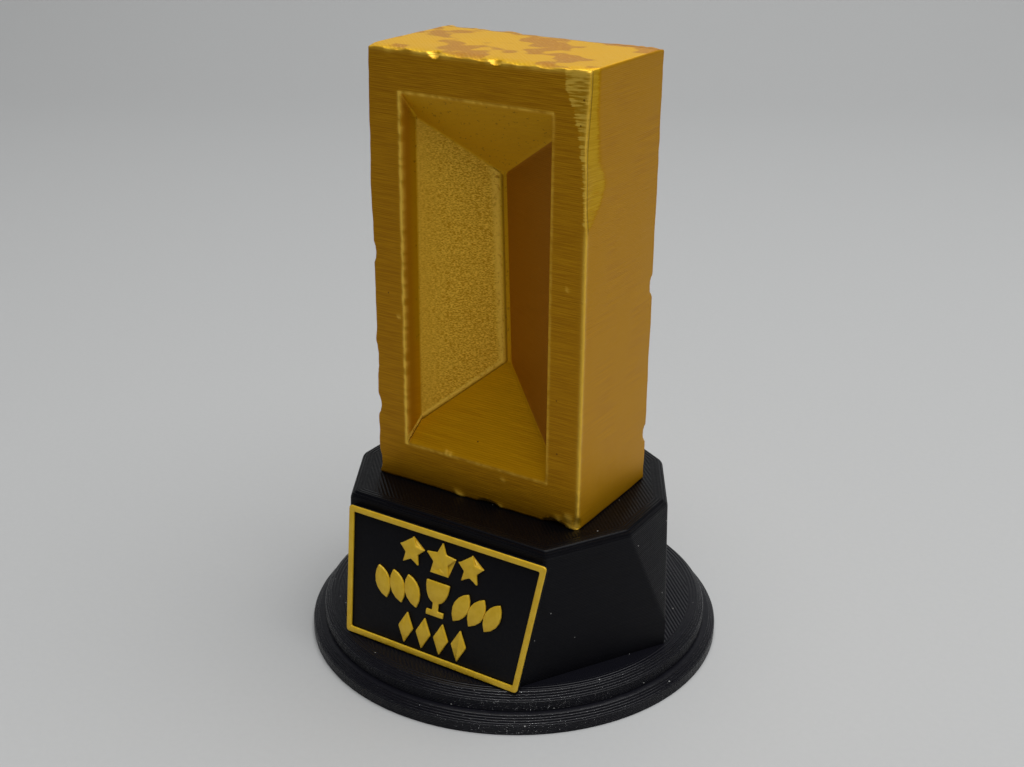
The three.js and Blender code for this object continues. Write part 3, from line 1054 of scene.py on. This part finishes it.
def soft_copy(node, finish, width):
    """A flat piece of the plaque, its edges rounded as molten plastic leaves them."""
    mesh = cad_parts[node].data.copy()
    mesh.name = node + "_print"
    body = bmesh.new()
    body.from_mesh(mesh)
    bmesh.ops.remove_doubles(body, verts=body.verts, dist=SAME_POINT * MM)
    flat = math.radians(FLAT_TURN)
    bmesh.ops.dissolve_limit(body, angle_limit=flat, verts=body.verts, edges=body.edges)
    joined = [edge for edge in body.edges if len(edge.link_faces) == 2]
    sharp = [edge for edge in joined if edge.calc_face_angle() > ROUNDED_TURN]
    bmesh.ops.bevel(body, geom=sharp, offset=width * MM, segments=3, affect="EDGES", profile=0.5)
    bmesh.ops.triangulate(body, faces=[face for face in body.faces if len(face.verts) > 4])
    body.to_mesh(mesh)
    body.free()
    mesh.materials.clear()
    mesh.materials.append(finish)
    piece = bpy.data.objects.new(node + "_print", mesh)
    bpy.context.scene.collection.objects.link(piece)
    shade(piece, SOFT_SHARP_FROM)
    stand_for(piece, node)


def plaque():
    soft_copy("plaque_plate", PLAQUE_BLACK, PLATE_ROUNDING)
    soft_copy("plaque_border", YELLOW, RAISED_ROUNDING)
    for node in sorted(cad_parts):
        if node.startswith(("star_", "cup", "leaf_", "lozenge_")):
            soft_copy(node, YELLOW, RAISED_ROUNDING)


# ---------------------------------------------------------------- stage, lights and camera
SWEEP_START = 300  # how far behind the object the paper starts to curve up
SWEEP_RADIUS = 220
SWEEP_HEIGHT = 1300
SWEEP_STEPS = 24
STAGE_REACH = 6000
LIGHT_AIM = (0, 0, 35)  # half way up the object
WORLD_COLOUR = "#b8babd"
WORLD_STRENGTH = 0.12

CAMERA_PLACE = (80.49, -129.32, 95.59)
CAMERA_ELEVATION = 22.96  # degrees that it looks down
CAMERA_ROLL = 0.5
FOCAL_LENGTH = 50.13
SENSOR_WIDTH = 36
CLIP_START = 1


def sweep():
    """A floor of pale card that curves up into a wall far behind the object."""
    turn = math.radians(VIEW_AZIMUTH)
    across = np.array([math.cos(turn), math.sin(turn), 0])
    back = np.array([-math.sin(turn), math.cos(turn), 0])
    bend = np.linspace(0, math.pi / 2, SWEEP_STEPS)
    profile = [(-STAGE_REACH, 0)]
    for a in bend:
        profile.append((SWEEP_START + SWEEP_RADIUS * math.sin(a), SWEEP_RADIUS * (1 - math.cos(a))))
    profile.append((SWEEP_START + SWEEP_RADIUS, SWEEP_HEIGHT))
    points = []
    for run, z in profile:
        for side in (-STAGE_REACH, STAGE_REACH):
            points.append(side * across + run * back + (0, 0, z))
    faces = [(2 * i, 2 * i + 1, 2 * i + 3, 2 * i + 2) for i in range(len(profile) - 1)]
    card = mesh_piece("sweep", points, faces, pale_card())
    card.data.shade_smooth()


def soft_light(name, place, size, power):
    """A round lamp of that size, aimed at the object."""
    light = bpy.data.lights.new(name, "AREA")
    light.shape = "DISK"
    light.size = size * MM
    light.energy = power
    lamp = bpy.data.objects.new(name, light)
    lamp.location = Vector(place) * MM
    lamp.rotation_mode = "QUATERNION"
    lamp.rotation_quaternion = (Vector(LIGHT_AIM) - Vector(place)).to_track_quat("-Z", "Y")
    bpy.context.scene.collection.objects.link(lamp)
    return lamp


def lights():
    """A wide soft light overhead, a small one that lights only the foot, so that its rims glint,
    and a dim grey surround."""
    soft_light("overhead", place=(140, 0, 640), size=780, power=5.35)
    glint = soft_light("glint", place=(122, -194, 328), size=20, power=0.8)
    glinting = bpy.data.collections.new("glinting")
    glinting.objects.link(bpy.data.objects["foot_print"])
    glint.light_linking.receiver_collection = glinting
    world = bpy.data.worlds.new("studio")
    world.use_nodes = True
    backdrop = world.node_tree.nodes["Background"]
    backdrop.inputs["Color"].default_value = srgb(WORLD_COLOUR)
    backdrop.inputs["Strength"].default_value = WORLD_STRENGTH
    bpy.context.scene.world = world


def camera():
    """The viewing angle: from the front right, a little above."""
    angles = (VIEW_AZIMUTH, CAMERA_ELEVATION, CAMERA_ROLL)
    azimuth, elevation, roll = (math.radians(angle) for angle in angles)
    level = Vector((-math.sin(azimuth), math.cos(azimuth), 0))
    forward = level * math.cos(elevation) - Vector((0, 0, math.sin(elevation)))
    right = Vector((math.cos(azimuth), math.sin(azimuth), 0))
    up = right.cross(forward)
    rolled_right = right * math.cos(roll) + up * math.sin(roll)
    rolled_up = up * math.cos(roll) - right * math.sin(roll)
    view = Matrix((rolled_right, rolled_up, -forward)).transposed().to_4x4()
    view.translation = Vector(CAMERA_PLACE) * MM
    lens = bpy.data.cameras.new("camera")
    lens.sensor_width = SENSOR_WIDTH
    lens.lens = FOCAL_LENGTH
    lens.clip_start = CLIP_START * MM
    eye = bpy.data.objects.new("camera", lens)
    eye.matrix_world = view
    bpy.context.scene.collection.objects.link(eye)
    bpy.context.scene.camera = eye


camera()
foot()
pedestal()
brick()
plaque()
sweep()
lights()
bpy.context.scene.view_settings.view_transform = "Standard"
